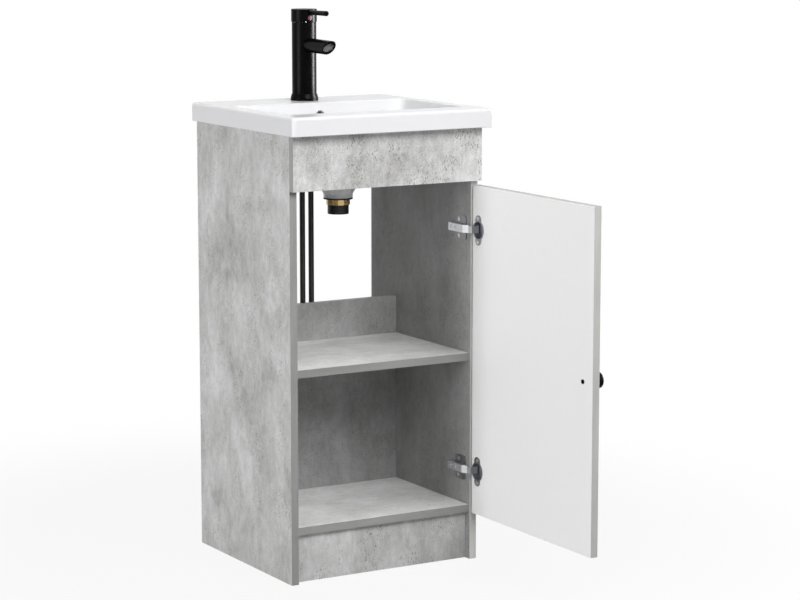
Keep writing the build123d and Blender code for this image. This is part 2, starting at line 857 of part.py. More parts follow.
def faucet_body():
    y = -tap_from_wall
    column = post(0, y, body_bottom, body_top, body_radius)
    column = chamfer(column.edges().filter_by(GeomType.CIRCLE).sort_by(Axis.Z)[-1], body_edge)
    forward = spout_direction()
    start = Vector(0, y, spout_z)
    end = start + forward * (spout_reach_top + spout_radius)
    spout = rod(tuple(start), tuple(end), spout_radius)
    face_plane = spout_face_plane()
    cut_size = 4 * spout_reach_top
    beyond = face_plane.location * Pos(0, 0, cut_size / 2) * Box(cut_size, cut_size, cut_size)
    body = column + (spout - beyond)
    recess_depth = aerator_inset + aerator_length
    recess = post(0, aerator_shift, -recess_depth, 1, aerator_radius + aerator_clearance)
    body = body - face_plane.location * recess
    passage_end = start + forward * (spout_reach_top - spout_radius - recess_depth)
    body = body - rod(tuple(start), tuple(passage_end), spout_bore)
    cavity_floor = body_top - retaining_ring_height - cartridge_height - cartridge_clearance
    body = body - post(0, y, cavity_floor, body_top + 1, cartridge_radius + cartridge_clearance)
    for sign in (-1, 1):
        x = sign * hose_half_spacing
        inlet_top = body_bottom + nipple_hold
        body = body - post(x, hose_y, body_bottom - 1, inlet_top, nipple_radius + nipple_fit)
        body = body - post(x, hose_y, inlet_top, cavity_floor + 1, water_channel)
    stud_y = y + stud_back
    stud_top = body_bottom + stud_hold + hole_extra
    return body - post(0, stud_y, body_bottom - 1, stud_top, stud_radius + stud_fit)


def faucet_base_ring():
    """Bell-shaped ring round the foot of the body."""
    y = -tap_from_wall
    inner = body_radius + base_ring_clearance
    profile = Polyline(
        (inner, deck),
        (base_ring_radius, deck),
        (base_ring_radius, deck + base_ring_edge),
        (inner + base_ring_shoulder, deck + base_ring_height),
        (inner, deck + base_ring_height),
        close=True,
    )
    bell = revolve(make_face(Plane.XZ * profile), Axis.Z)
    return Pos(0, y, 0) * bell - post(0, y, deck - 1, body_bottom, base_gasket_radius + base_ring_clearance)


def base_gasket():
    y = -tap_from_wall
    return ring(0, y, deck, body_bottom, base_gasket_radius, tap_hole_radius + base_gasket_inset)


def aerator():
    """Ring with a recessed mesh disc, seated in the spout's cut face."""
    rear = -aerator_inset - aerator_length
    body = post(0, aerator_shift, rear, -aerator_inset, aerator_radius)
    dish = post(0, aerator_shift, -aerator_inset - aerator_mesh_depth, 0, aerator_mesh_radius)
    throat = post(0, aerator_shift, rear - 1, rear + aerator_throat_depth, aerator_throat_radius)
    return spout_face_plane().location * (body - dish - throat)


def cartridge():
    """Mixing cartridge with the socket that the handle's shaft turns in."""
    y = -tap_from_wall
    top = body_top - retaining_ring_height
    drum = post(0, y, top - cartridge_height, top, cartridge_radius)
    shoulder = post(0, y, top, body_top - top_inset, cartridge_neck_radius)
    socket_depth = carrier_shaft_length + top_inset
    socket = post(0, y, body_top - socket_depth, body_top + 1, carrier_shaft_radius + shaft_fit)
    return drum + shoulder - socket


def retaining_ring():
    y = -tap_from_wall
    bottom = body_top - retaining_ring_height
    return ring(0, y, bottom, body_top - top_inset, cartridge_radius, retaining_ring_bore)


def tilt_axis_rod(half_length, radius):
    """A cylinder on the handle's tilt axis."""
    return rod((-half_length, tilt_pin_y, tilt_pin_z), (half_length, tilt_pin_y, tilt_pin_z), radius)


def handle_carrier():
    """Swivelling piece on the cartridge, with the lug that holds the tilt pin."""
    y = -tap_from_wall
    bottom = body_top + carrier_gap
    dome = post(0, y, bottom, bottom + carrier_height, carrier_radius)
    dome = fillet(dome.edges().filter_by(GeomType.CIRCLE).sort_by(Axis.Z)[-1], carrier_edge)
    shaft = post(0, y, body_top - carrier_shaft_length, bottom, carrier_shaft_radius)
    lug = tilt_axis_rod(lug_half_width, lug_radius)
    web = span(-lug_half_width, lug_half_width, y + carrier_radius - carrier_web, tilt_pin_y,
               tilt_pin_z - lug_radius, tilt_pin_z)
    bore = tilt_axis_rod(lug_half_width + 1, tilt_pin_radius + tilt_pin_fit)
    return dome + shaft + web + lug - bore


def tilt_pin():
    return tilt_axis_rod(tilt_pin_half_length, tilt_pin_radius)


def handle_cap():
    """Hollow cap over the cartridge, cut away at its rear foot so that it can tilt."""
    y = -tap_from_wall
    cap = post(0, y, cap_bottom, cap_top, cap_radius)
    top_rim = cap.edges().filter_by(GeomType.CIRCLE).sort_by(Axis.Z)[-1]
    cap = fillet(top_rim, cap_edge)
    cap = cap - post(0, y, cap_bottom - 1, cap_top - cap_roof, cap_radius - cap_wall)
    groove_z = cap_top - cap_groove_drop
    groove_floor = cap_radius - cap_groove_depth
    cap = cap - ring(0, y, groove_z, groove_z + cap_groove_width, cap_radius + 1, groove_floor)
    side = 2 * cap_radius
    foot = Pos(0, side / 2, -side / 2) * Box(side, side, side)
    cap = cap - Pos(0, y + wedge_start, cap_bottom) * Rot(tilt_travel, 0, 0) * foot
    cap = cap - tilt_axis_rod(tilt_pin_half_length + hole_extra, tilt_pin_radius + tilt_pin_fit)
    front = y - cap_radius
    socket = rod((0, front + lever_socket, lever_z), (0, front - 1, lever_z), lever_radius + lever_fit)
    seat = front + indicator_inset
    end = seat - 2 * indicator_depth
    recess = rod((0, seat, indicator_z), (0, end, indicator_z), indicator_radius + indicator_gap)
    return cap - socket - recess


def lever():
    """Straight round lever with a rounded, slightly wider tip."""
    start = -tap_from_wall - cap_radius + lever_socket
    flare = lever_reach - cap_radius
    profile = Polyline(
        (0, 0),
        (lever_radius, 0),
        (lever_radius, lever_socket + flare * lever_flare_start),
        (lever_tip_radius, lever_socket + flare),
        (0, lever_socket + flare),
        close=True,
    )
    bar = revolve(make_face(Plane.XZ * profile), Axis.Z)
    far_edge = bar.edges().filter_by(GeomType.CIRCLE).sort_by(Axis.Z)[-1]
    bar = fillet(far_edge, lever_round)
    frame = Plane(origin=(0, start, lever_z), x_dir=(1, 0, 0), z_dir=(0, -1, 0))
    return frame.location * bar


def indicator(sign):
    """Half of the round warm and cold mark on the front of the cap."""
    seat = -tap_from_wall - cap_radius + indicator_inset
    disc = rod((0, seat, indicator_z), (0, seat - indicator_depth, indicator_z), indicator_radius)
    size = 2 * indicator_radius
    return disc & span(0, sign * size, seat - size, seat + size, indicator_z - size, indicator_z + size)


clamp_top = pocket_top
rubber_bottom = clamp_top - clamp_rubber_thickness
plate_bottom = rubber_bottom - clamp_plate_thickness
stud_y = -tap_from_wall + stud_back


def crescent(z0, z1):
    """Horseshoe washer that leaves room for the hoses."""
    y = -tap_from_wall
    disc = post(0, y, z0, z1, clamp_radius)
    opening = span(-clamp_opening_half_width, clamp_opening_half_width, y + clamp_opening_start,
                   y - clamp_radius - 1, z0 - 1, z1 + 1)
    return disc - opening - post(0, stud_y, z0 - 1, z1 + 1, stud_radius + stud_fit)


def faucet_stud():
    top = body_bottom + stud_hold
    return post(0, stud_y, top - stud_length, top, stud_radius)


def faucet_nut():
    bottom = plate_bottom - clamp_nut_height
    outline = RegularPolygon(clamp_nut_flats / 2, 6, major_radius=False)
    blank = Pos(0, stud_y, bottom) * extrude(outline, clamp_nut_height)
    return blank - post(0, stud_y, bottom - 1, plate_bottom + 1, stud_radius + stud_fit)


hoses = {"left": (-hose_half_spacing, hose_left_length), "right": (hose_half_spacing, hose_right_length)}


def hose(name):
    """One supply hose. It hangs dead straight under its own weight, so its route has no arcs."""
    x, length = hoses[name]
    solid = post(x, hose_y, hose_top - length, hose_top, hose_radius)
    section = math.pi * hose_radius ** 2
    print("hose", name, "length", length, "arcs none", "volume over section times length",
          round(solid.volume / (section * length), 6))
    return solid


def hose_nipples():
    top = body_bottom + nipple_hold
    return [post(x, hose_y, ferrule_top, top, nipple_radius) for x, length in hoses.values()]


def hose_ferrules_top():
    return [post(x, hose_y, hose_top, ferrule_top, ferrule_radius) for x, length in hoses.values()]


def end_ferrule(name):
    x, length = hoses[name]
    top = hose_top - length
    return post(x, hose_y, top - end_ferrule_length, top, ferrule_radius)


def end_nut(name):
    """A hexagon union nut, open at the foot. The two hoses' nuts have flats that face each other."""
    x, length = hoses[name]
    top = hose_top - length - end_ferrule_length
    outline = RegularPolygon(end_nut_flats / 2, 6, major_radius=False)
    blank = Pos(x, hose_y, top - end_nut_length) * extrude(outline, end_nut_length)
    return blank - post(x, hose_y, top - end_nut_length - 1, top - end_nut_roof, end_nut_bore)


def build_nodes():
    """Every sub-part by name: one solid, or a list of like solids."""
    nodes = {
        "side_panel_left": side_panel(-1),
        "side_panel_right": side_panel(1),
        "fascia_panel": fascia_panel(),
        "base_shelf": shelf(plinth_height),
        "middle_shelf": shelf(middle_shelf_z),
        "plinth": plinth(),
        "back_panel": back_panel(),
        "rear_rail": rear_rail(),
        "cam_bolts": [frame.location * cam_bolt() for frame in bolt_frames],
        "cam_locks": [frame.location * cam_lock() for frame in bolt_frames],
        "dowels": [frame.location * dowel() for frame in dowel_frames],
        "door_panel": door_panel(),
        "knob": knob(),
        "knob_screw": knob_screw(),
        "hinge_cup_screws": [small_screw(flange_face, y, z) for y, z in cup_screw_places],
        "hinge_plate_screws": [small_screw(plate_face, y, z) for y, z in hinge_screw_places],
        "hinge_adjust_screws": [
            adjust_screw(y, height) for height in hinge_heights.values() for y in adjust_places()
        ],
        "basin": basin(),
        "waste_body": waste_body(),
        "waste_top_seal": waste_top_seal(),
        "waste_gasket": waste_gasket(),
        "waste_nut": waste_nut(),
        "plug": plug(),
        "plug_stem": plug_stem(),
        "faucet_body": faucet_body(),
        "faucet_base_ring": faucet_base_ring(),
        "base_gasket": base_gasket(),
        "aerator": aerator(),
        "cartridge": cartridge(),
        "retaining_ring": retaining_ring(),
        "handle_carrier": handle_carrier(),
        "tilt_pin": tilt_pin(),
        "handle_cap": handle_cap(),
        "lever": lever(),
        "indicator_red": indicator(-1),
        "indicator_blue": indicator(1),
        "faucet_stud": faucet_stud(),
        "clamp_rubber": crescent(rubber_bottom, clamp_top),
        "clamp_plate": crescent(plate_bottom, rubber_bottom),
        "faucet_nut": faucet_nut(),
        "hose_nipples": hose_nipples(),
        "hose_ferrules_top": hose_ferrules_top(),
    }
    for name, height in hinge_heights.items():
        nodes["hinge_arm_" + name] = hinge_arm(height)
        nodes["hinge_plate_" + name] = hinge_plate(height)
        nodes["hinge_cup_" + name] = hinge_cup(height)
        nodes["hinge_pin_" + name] = hinge_pin(height)
    for name in hoses:
        nodes["hose_" + name] = hose(name)
        nodes["end_ferrule_" + name] = end_ferrule(name)
        nodes["end_nut_" + name] = end_nut(name)
    return nodes


os.makedirs("parts", exist_ok=True)
for name, shape in build_nodes().items():
    solids = shape if isinstance(shape, list) else [shape]
    group = Compound(children=[solid for item in solids for solid in item.solids()])
    export_step(group, "parts/" + name + ".step")
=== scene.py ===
import math
import bpy
from mathutils import Euler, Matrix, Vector


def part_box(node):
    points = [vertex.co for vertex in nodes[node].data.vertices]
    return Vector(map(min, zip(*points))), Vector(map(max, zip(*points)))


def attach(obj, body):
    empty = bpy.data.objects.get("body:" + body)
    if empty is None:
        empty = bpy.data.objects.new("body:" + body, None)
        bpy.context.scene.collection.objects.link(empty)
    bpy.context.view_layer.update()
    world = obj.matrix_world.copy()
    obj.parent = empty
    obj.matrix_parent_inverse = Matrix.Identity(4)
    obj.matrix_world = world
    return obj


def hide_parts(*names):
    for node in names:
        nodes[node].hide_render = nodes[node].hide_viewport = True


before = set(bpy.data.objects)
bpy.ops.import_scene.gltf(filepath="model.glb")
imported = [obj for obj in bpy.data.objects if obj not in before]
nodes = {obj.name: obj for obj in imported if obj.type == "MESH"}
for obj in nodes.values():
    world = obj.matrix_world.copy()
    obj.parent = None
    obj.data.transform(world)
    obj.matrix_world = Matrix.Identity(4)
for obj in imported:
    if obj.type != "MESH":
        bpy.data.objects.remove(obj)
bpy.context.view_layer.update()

# Metres, in the frame of the solids: +Z up, the front looks along -Y, the door is on the right.
MM = 0.001

# Camera: the photograph's view, from the left of the front and a little above
camera_place = (-2.40375, -4.53063, 1.28065)
camera_turn = 30.44
camera_down = 8.895
camera_lens = 114.96
camera_sensor = 36.0
camera_clip = (0.05, 50.0)

# Lamps: place, point looked at, width and height in metres, power in watts
lamps = {
    "left_box": ((-4.4, -0.6, 0.9), (-0.2, -0.3, 0.5), (1.8, 2.4), 130.0),
    "front_box": ((0.2, -2.95, 2.45), (0.0, -0.4, 0.75), (2.0, 1.5), 97.0),
    "top_box": ((0.0, -0.5, 3.4), (0.0, -0.3, 0.85), (1.6, 1.6), 22.0),
    "rim_box": ((2.42, -1.0, 1.15), (0.0, -0.066, 0.95), (0.8, 1.2), 300.0),
    "rear_box": ((0.8, 3.2, 1.5), (0.0, 0.0, 0.5), (1.6, 1.6), 48.0),
}

# The world's soft light, at the front and at the rear, and where along Y it changes
world_light = 0.15
world_light_rear = 0.06
world_change = (-0.6, 0.8)

# The floor reads white; near the object a share of its own shade shows, out to these distances
floor_size = 60.0
floor_drop = 0.5 * MM
floor_tone = 0.35
floor_glow = 0.91
floor_shadow_reach = (0.5, 1.3)

# Supply hoses, as in the solids
hose_side = 9.8 * MM
hose_back = -72.4 * MM
hose_top = 853.0 * MM
hose_diameter = 11.0 * MM
hose_lengths = {"left": 385.0 * MM, "right": 410.0 * MM}
hose_straight = 66.0 * MM

# Rounding of the boards' edges
board_round = 0.6 * MM
board_round_segments = 2
board_round_angle = 35.0
weld_distance = 0.01 * MM

# The door's white liner covers its inner face only
door_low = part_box("door_panel")[0]
liner_thickness = 0.1 * MM

# Tints: the boards' edge banding is a little greener than their faces, the glaze a little bluer
edge_tint = (1.0, 1.0, 0.965)
dark_laminate_tint = (1.0, 0.995, 0.955)
ceramic_tint = (0.99, 0.99, 1.01)

# The laminate's noises: features to the metre, and each one's share of the tone
cloud_scale = 10.0
mottle_scale = 60.0
fleck_scale = 130.0
streak_scale = 190.0
fine_scale = 620.0
cloud_share = 1.15
mottle_share = 0.75
fleck_share = 0.45
streak_share = 0.2
fine_share = 0.8

# Its dark pits: cells to the metre, their size where sparse, what a dense cluster takes from it
# and what the flecks add, and how dark a pit and a vein are
pit_cells = 240.0
pit_size = 0.32
pit_size_change = -0.22
pit_raggedness = 0.5
pit_darkness = -0.45
vein_width = 0.018
vein_darkness = -0.10

# A placed cloud: how far from its middle it starts and is whole, and how ragged its outline is
patch_outside = 2.9
patch_inside = 1.4
patch_raggedness = 3.4


def link(tree, value, socket):
    """Sets a socket from a number, a colour or another node's output."""
    if isinstance(value, bpy.types.NodeSocket):
        tree.links.new(value, socket)
    else:
        socket.default_value = value


def add_math(tree, operation, first, second=0.0, third=None):
    node = tree.nodes.new("ShaderNodeMath")
    node.operation = operation
    link(tree, first, node.inputs[0])
    link(tree, second, node.inputs[1])
    if third is not None:
        link(tree, third, node.inputs[2])
    return node.outputs[0]


def add_mix(tree, factor, first, second, blend="MIX"):
    """A mix of two colours or outputs."""
    node = tree.nodes.new("ShaderNodeMix")
    node.data_type = "RGBA"
    node.blend_type = blend
    link(tree, factor, node.inputs["Factor"])
    link(tree, first, node.inputs["A"])
    link(tree, second, node.inputs["B"])
    return node.outputs["Result"]


def add_range(tree, value, low, high, to_low=0.0, to_high=1.0):
    """Maps a value's range to another, smoothly and clamped."""
    node = tree.nodes.new("ShaderNodeMapRange")
    node.interpolation_type = "SMOOTHSTEP"
    link(tree, value, node.inputs["Value"])
    link(tree, low, node.inputs["From Min"])
    link(tree, high, node.inputs["From Max"])
    link(tree, to_low, node.inputs["To Min"])
    link(tree, to_high, node.inputs["To Max"])
    return node.outputs["Result"]


def add_place(tree, scale=(1.0, 1.0, 1.0), move=(0.0, 0.0, 0.0)):
    """Object coordinates, stretched and moved."""
    source = tree.nodes.new("ShaderNodeTexCoord")
    node = tree.nodes.new("ShaderNodeMapping")
    tree.links.new(source.outputs["Object"], node.inputs["Vector"])
    node.inputs["Scale"].default_value = scale
    node.inputs["Location"].default_value = move
    return node.outputs["Vector"]


def add_noise(tree, place, scale, detail=4.0, roughness=0.5, distortion=0.0):
    node = tree.nodes.new("ShaderNodeTexNoise")
    link(tree, place, node.inputs["Vector"])
    node.inputs["Scale"].default_value = scale
    node.inputs["Detail"].default_value = detail
    node.inputs["Roughness"].default_value = roughness
    node.inputs["Distortion"].default_value = distortion
    return node.outputs["Fac"]


def add_cells(tree, place, scale, randomness=1.0):
    """Distance to the nearest of many scattered points."""
    node = tree.nodes.new("ShaderNodeTexVoronoi")
    link(tree, place, node.inputs["Vector"])
    node.inputs["Scale"].default_value = scale
    node.inputs["Randomness"].default_value = randomness
    return node.outputs["Distance"]


def add_axes(tree, output="Object"):
    """The three parts of the object coordinates, or of another output such as the normal."""
    source = tree.nodes.new("ShaderNodeTexCoord")
    node = tree.nodes.new("ShaderNodeSeparateXYZ")
    tree.links.new(source.outputs[output], node.inputs["Vector"])
    return node.outputs["X"], node.outputs["Y"], node.outputs["Z"]


def add_seen(tree):
    """1 where the camera sees a surface, straight, in a reflection or through glass, and 0 elsewhere."""
    path = tree.nodes.new("ShaderNodeLightPath")
    seen = add_math(tree, "MAXIMUM", path.outputs["Is Camera Ray"], path.outputs["Is Glossy Ray"])
    return add_math(tree, "MAXIMUM", seen, path.outputs["Is Transmission Ray"])


def add_bump(tree, shader, height, strength, distance):
    node = tree.nodes.new("ShaderNodeBump")
    node.inputs["Strength"].default_value = strength
    node.inputs["Distance"].default_value = distance
    tree.links.new(height, node.inputs["Height"])
    tree.links.new(node.outputs["Normal"], shader.inputs["Normal"])


def new_material(name, **values):
    """A material with a principled shader; values are named by the shader's own sockets."""
    material = bpy.data.materials.new(name)
    material.use_nodes = True
    tree = material.node_tree
    shader = tree.nodes["Principled BSDF"]
    for key, value in values.items():
        shader.inputs[key.replace("_", " ")].default_value = value
    return material, tree, shader


def grey(value, tint=(1.0, 1.0, 1.0)):
    return (value * tint[0], value * tint[1], value * tint[2], 1.0)


def stretched(grain, share):
    """The grain's stretch, taken by a share between 0, none, and 1, whole."""
    return [1.0 - share + share * part for part in grain]


def add_share(tree, value, noise, share):
    """Adds a share of a noise, whose middle is at a half, to a value."""
    return add_math(tree, "MULTIPLY_ADD", add_math(tree, "SUBTRACT", noise, 0.5), share, value)


def add_patches(tree, value, patches):
    """Adds soft, ragged light and dark clouds at set places on the plane of Y and Z."""
    ragged = add_noise(tree, add_place(tree), scale=34.0, detail=5.0, roughness=0.6)
    for y, z, half_width, half_height, change in patches:
        scale = (0.0, 1.0 / half_width, 1.0 / half_height)
        move = (0.0, -y / half_width, -z / half_height)
        node = tree.nodes.new("ShaderNodeVectorMath")
        node.operation = "LENGTH"
        tree.links.new(add_place(tree, scale, move), node.inputs[0])
        reach = add_math(tree, "MULTIPLY_ADD", ragged, patch_raggedness, node.outputs["Value"])
        cloud = add_range(tree, reach, patch_outside, patch_inside, 0.0, change)
        value = add_math(tree, "ADD", value, cloud)
    return value


def add_pits(tree, flecks, grain, offset, amount):
    """1 in small dark pits, longer along the grain, which lie in clusters."""
    place = add_place(tree, stretched(grain, 0.5), offset)
    where = add_noise(tree, place, scale=19.0, detail=2.0, roughness=0.5)
    dense = add_range(tree, where, 0.60, 0.46)
    stretch = [1.0 if part > 0.5 else 0.5 for part in grain]
    cells = add_cells(tree, add_place(tree, stretch, offset), pit_cells)
    size = add_math(tree, "MULTIPLY_ADD", dense, pit_size_change * amount, pit_size * amount)
    size = add_share(tree, size, flecks, pit_raggedness * amount)
    return add_range(tree, cells, size, add_math(tree, "MULTIPLY", size, 0.6))


def add_veins(tree, grain, offset):
    """1 along thin winding lines, where a noise passes its middle."""
    place = add_place(tree, stretched(grain, 0.5), offset)
    ridge = add_noise(tree, place, scale=15.0, detail=5.0, roughness=0.65, distortion=1.2)
    from_middle = add_math(tree, "ABSOLUTE", add_math(tree, "SUBTRACT", ridge, 0.5))
    return add_range(tree, from_middle, vein_width, 0.0)


def concrete_colour(tree, tone, grain, offset, contrast, pits, patches):
    """The printed concrete: clouds, mottling, flecks, streaks along the grain, pits and veins.

    grain is the stretch along X, Y and Z: small along the streaks. Returns a colour and a height.
    """
    place = add_place(tree, stretched(grain, 0.3), offset)
    cloud = add_noise(tree, place, cloud_scale, detail=4.0, roughness=0.5, distortion=0.4)
    place = add_place(tree, stretched(grain, 0.4), offset)
    mottle = add_noise(tree, place, mottle_scale, detail=6.0, roughness=0.72, distortion=0.3)
    place = add_place(tree, stretched(grain, 0.6), offset)
    flecks = add_noise(tree, place, fleck_scale, detail=4.0, roughness=0.7, distortion=0.8)
    streak = add_noise(tree, add_place(tree, grain, offset), streak_scale, detail=3.0, roughness=0.6)
    fine = add_noise(tree, add_place(tree), fine_scale, detail=3.0, roughness=0.6)
    value = add_share(tree, 1.0, cloud, cloud_share * contrast)
    value = add_share(tree, value, mottle, mottle_share * contrast)
    value = add_share(tree, value, flecks, fleck_share * contrast)
    value = add_share(tree, value, streak, streak_share * contrast)
    value = add_share(tree, value, fine, fine_share * contrast)
    value = add_patches(tree, value, patches)
    spot = add_pits(tree, flecks, grain, offset, pits)
    left = add_math(tree, "MULTIPLY_ADD", spot, pit_darkness, 1.0)
    value = add_math(tree, "MULTIPLY", value, left)
    vein = add_veins(tree, grain, offset)
    value = add_math(tree, "MULTIPLY_ADD", vein, vein_darkness * contrast, value)
    darkness = add_range(tree, value, 1.1, 0.7)
    tinted = add_mix(tree, darkness, grey(tone), grey(tone, dark_laminate_tint))
    colour = add_mix(tree, 1.0, tinted, value, "MULTIPLY")
    height = add_math(tree, "SUBTRACT", mottle, spot)
    return colour, height


def board_material(name, tone, thin_axis, grain, offset, contrast, pits, edge_tone_with_painted_light=0.33,
                   liner_limit=None, patches=()):
    """Laminate with edge banding on the narrow faces, and white where X is under liner_limit."""
    material, tree, shader = new_material(name, Roughness=0.55, Specular_IOR_Level=0.35)
    # tone is set per piece. It holds the laminate's grey, with painted shade on some boards and painted
    # light on others.
    colour, height = concrete_colour(tree, tone, grain, offset, contrast, pits, patches)
    across = add_math(tree, "ABSOLUTE", add_axes(tree, "Normal")[thin_axis])
    edge = add_range(tree, across, 0.75, 0.6)
    place = add_place(tree, grain, offset)
    band_noise = add_noise(tree, place, scale=90.0, detail=4.0, roughness=0.6)
    # The band's tone is set per piece too. It holds the banding's own grey, with painted shade on some edges
    # and painted light on others.
    band = add_mix(tree, band_noise, grey(edge_tone_with_painted_light * 0.8, edge_tint), grey(edge_tone_with_painted_light * 1.2, edge_tint))
    colour = add_mix(tree, edge, colour, band)
    if liner_limit is not None:
        liner = add_math(tree, "LESS_THAN", add_axes(tree)[0], liner_limit)
        peel = add_noise(tree, add_place(tree), scale=160.0, detail=2.0, roughness=0.5)
        colour = add_mix(tree, liner, colour, add_mix(tree, peel, grey(0.91), grey(0.94)))
        height = add_math(tree, "MULTIPLY", height, add_math(tree, "SUBTRACT", 1.0, liner))
    tree.links.new(colour, shader.inputs["Base Color"])
    add_bump(tree, shader, height, strength=0.25, distance=0.4 * MM)
    return material


def ceramic_material():
    """White glaze with a very slight ripple."""
    material, tree, shader = new_material("ceramic_glaze", Roughness=0.26, Specular_IOR_Level=0.4)
    tone = add_noise(tree, add_place(tree), scale=9.0, detail=3.0, roughness=0.5)
    colour = add_mix(tree, tone, grey(0.73, ceramic_tint), grey(0.76, ceramic_tint))
    tree.links.new(colour, shader.inputs["Base Color"])
    ripple = add_noise(tree, add_place(tree), scale=24.0, detail=2.0, roughness=0.5)
    add_bump(tree, shader, ripple, strength=0.06, distance=1.0 * MM)
    return material


def coated_material(name, tone, roughness, specular, grain_scale=900.0):
    """Dark coating or plastic with a fine grain and a little wear in its gloss."""
    material, tree, shader = new_material(name, Specular_IOR_Level=specular)
    fine = add_noise(tree, add_place(tree), grain_scale, detail=2.0, roughness=0.5)
    cloud = add_noise(tree, add_place(tree), scale=35.0, detail=3.0, roughness=0.5)
    tree.links.new(add_mix(tree, cloud, grey(tone * 0.85), grey(tone * 1.15)), shader.inputs["Base Color"])
    gloss = add_range(tree, cloud, 0.3, 0.7, roughness - 0.04, roughness + 0.04)
    tree.links.new(gloss, shader.inputs["Roughness"])
    add_bump(tree, shader, fine, strength=0.12, distance=0.2 * MM)
    return material


def metal_material(name, colour, roughness, brush=(1.0, 1.0, 1.0)):
    """Plated or turned metal with fine brush marks. brush is the marks' stretch along X, Y and Z."""
    material, tree, shader = new_material(name, Metallic=1.0)
    marks = add_noise(tree, add_place(tree, brush), scale=600.0, detail=3.0, roughness=0.6)
    stain = add_noise(tree, add_place(tree), scale=60.0, detail=4.0, roughness=0.6)
    tree.links.new(add_mix(tree, stain, grey(0.82, colour), grey(1.0, colour)), shader.inputs["Base Color"])
    gloss = add_range(tree, marks, 0.3, 0.7, roughness - 0.08, roughness + 0.08)
    tree.links.new(gloss, shader.inputs["Roughness"])
    add_bump(tree, shader, marks, strength=0.03, distance=0.1 * MM)
    return material


def hose_material():
    """Smooth black jacket with a faint length-wise draw mark."""
    material, tree, shader = new_material("hose_jacket", Roughness=0.42, Specular_IOR_Level=0.4)
    marks = add_noise(tree, add_place(tree, (1.0, 1.0, 0.03)), scale=900.0, detail=2.0, roughness=0.5)
    tree.links.new(add_mix(tree, marks, grey(0.010), grey(0.020)), shader.inputs["Base Color"])
    add_bump(tree, shader, marks, strength=0.2, distance=0.2 * MM)
    return material


def wood_material():
    """Turned beech dowel, with its grain along X."""
    material, tree, shader = new_material("beech", Roughness=0.6)
    rings = add_noise(tree, add_place(tree, (0.2, 1.0, 1.0)), scale=300.0, detail=3.0, roughness=0.6)
    dark = (0.52, 0.34, 0.18, 1.0)
    pale = (0.68, 0.48, 0.28, 1.0)
    tree.links.new(add_mix(tree, rings, dark, pale), shader.inputs["Base Color"])
    return material


def rubber_material():
    """Black seal rubber with a little dust."""
    material, tree, shader = new_material("rubber_seal", Roughness=0.7, Specular_IOR_Level=0.3)
    dust = add_noise(tree, add_place(tree), scale=120.0, detail=4.0, roughness=0.6)
    tree.links.new(add_mix(tree, dust, grey(0.014), grey(0.03)), shader.inputs["Base Color"])
    return material


def mark_material(name, colour):
    """Glossy enamel of the warm and cold marks."""
    material, tree, shader = new_material(name, Roughness=0.25, Specular_IOR_Level=0.5)
    shade = add_noise(tree, add_place(tree), scale=200.0, detail=2.0, roughness=0.5)
    tree.links.new(add_mix(tree, shade, grey(0.8, colour), grey(1.0, colour)), shader.inputs["Base Color"])
    return material


def aerator_material():
    """Grey plastic with a fine mesh on its face."""
    material, tree, shader = new_material("aerator_mesh", Roughness=0.45, Specular_IOR_Level=0.4)
    painted_hole_shade = add_cells(tree, add_place(tree), scale=900.0, randomness=0.0)
    mesh = add_range(tree, painted_hole_shade, 0.25, 0.45)
    # The dark dots are painted shade in the mesh's holes, on grey plastic.
    tree.links.new(add_mix(tree, mesh, grey(0.05), grey(0.24)), shader.inputs["Base Color"])
    return material


# Stretch of the laminate's grain along X, Y and Z, and the axis that a board is thin along
upright = (1.0, 1.0, 0.10)
sideways = (0.10, 1.0, 1.0)
thin_x = 0
thin_y = 1
thin_z = 2

# Clouds placed on the left side panel: middle in Y and Z, half width, half height, change of tone
side_patches = (
    (-0.139, 0.560, 0.045, 0.030, -0.20), (-0.139, 0.510, 0.020, 0.040, -0.12),
    (-0.100, 0.605, 0.022, 0.022, -0.14), (-0.330, 0.600, 0.030, 0.030, -0.14),
    (-0.325, 0.770, 0.035, 0.045, 0.16), (-0.320, 0.680, 0.030, 0.028, 0.14),
    (-0.070, 0.700, 0.030, 0.040, 0.14), (-0.130, 0.690, 0.010, 0.028, -0.20),
    (-0.220, 0.700, 0.030, 0.030, -0.13), (-0.300, 0.530, 0.040, 0.040, 0.15),
    (-0.150, 0.375, 0.026, 0.040, -0.16), (-0.215, 0.325, 0.030, 0.036, -0.15),
    (-0.340, 0.410, 0.028, 0.034, 0.16), (-0.150, 0.220, 0.030, 0.032, -0.14),
    (-0.075, 0.120, 0.036, 0.034, -0.24), (-0.130, 0.080, 0.030, 0.028, -0.16),
    (-0.220, 0.200, 0.036, 0.034, 0.15), (-0.300, 0.110, 0.034, 0.032, -0.15),
)
